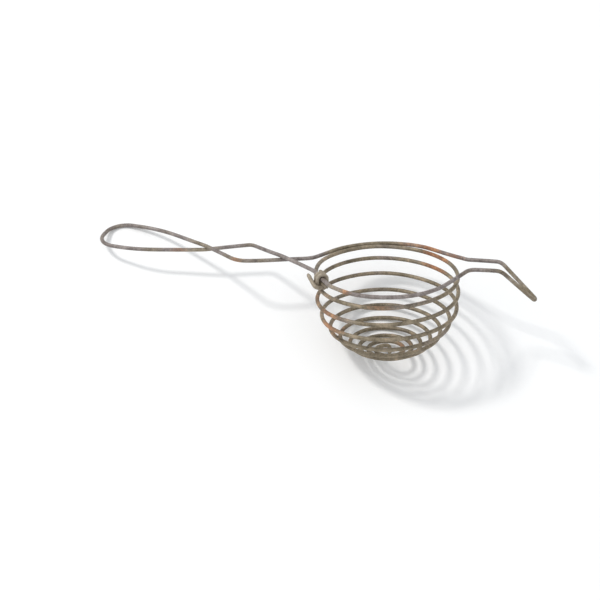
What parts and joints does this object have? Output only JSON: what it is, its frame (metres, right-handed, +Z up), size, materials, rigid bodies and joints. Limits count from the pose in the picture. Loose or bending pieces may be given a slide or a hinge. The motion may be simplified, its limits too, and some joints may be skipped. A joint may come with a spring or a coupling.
{
  "type": "spiral wire egg ladle",
  "caption": "Hand-bent spiral-wire egg ladle with a round coiled bowl, a looped double-wire handle and a folded hook that rests on a pan's rim.",
  "frame": {"origin": "on the table, under the middle of the tool's overall box", "axes": "+X from the handle's loop to the hook's tip, +Y to the left, away from the viewer, +Z up from the table the tool lies on"},
  "size_m": [0.2254, 0.0775, 0.0555],
  "materials": {
    "frame_wire": "worn, dull, with rust spots",
    "basket_wire": "worn, brown, with rust",
    "binding_wire": "worn, dull"
  },
  "bodies": {
    "root": {"frame_wire": "frame_wire", "basket_spiral": "basket_wire", "binding": "binding_wire"}
  },
  "joints": []
}
